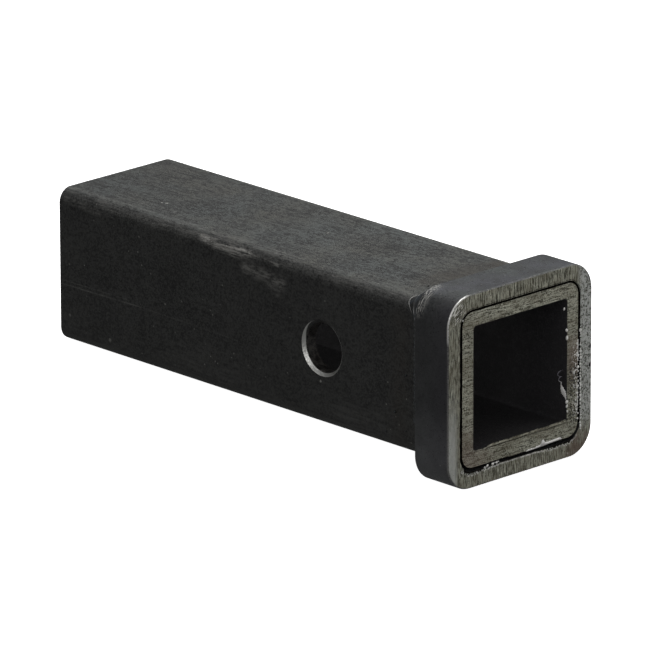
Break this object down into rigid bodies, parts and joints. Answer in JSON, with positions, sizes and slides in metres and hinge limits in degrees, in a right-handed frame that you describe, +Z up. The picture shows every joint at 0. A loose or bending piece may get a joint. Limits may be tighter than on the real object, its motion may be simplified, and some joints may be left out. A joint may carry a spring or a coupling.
{
  "type": "receiver tube",
  "caption": "Square steel receiver tube, open end to end, with a cross pin hole and a rounded collar welded round its mouth.",
  "frame": {"origin": "middle of the cross pin hole, on the centre line of the tube", "axes": "+X along the tube, out of the mouth; +Y along the pin hole; +Z up"},
  "size_m": [0.2286, 0.0782, 0.0781],
  "materials": {
    "tube_steel": "bare hot-rolled steel with dark mill scale, saw-cut ends",
    "collar_steel": "bare hot-rolled steel with blue-grey mill scale, saw-cut ends",
    "weld_metal": "as-welded, rippled, with dark oxide"
  },
  "bodies": {
    "root": {"receiver_tube": "tube_steel", "collar": "collar_steel", "collar_weld": "weld_metal"}
  },
  "joints": []
}
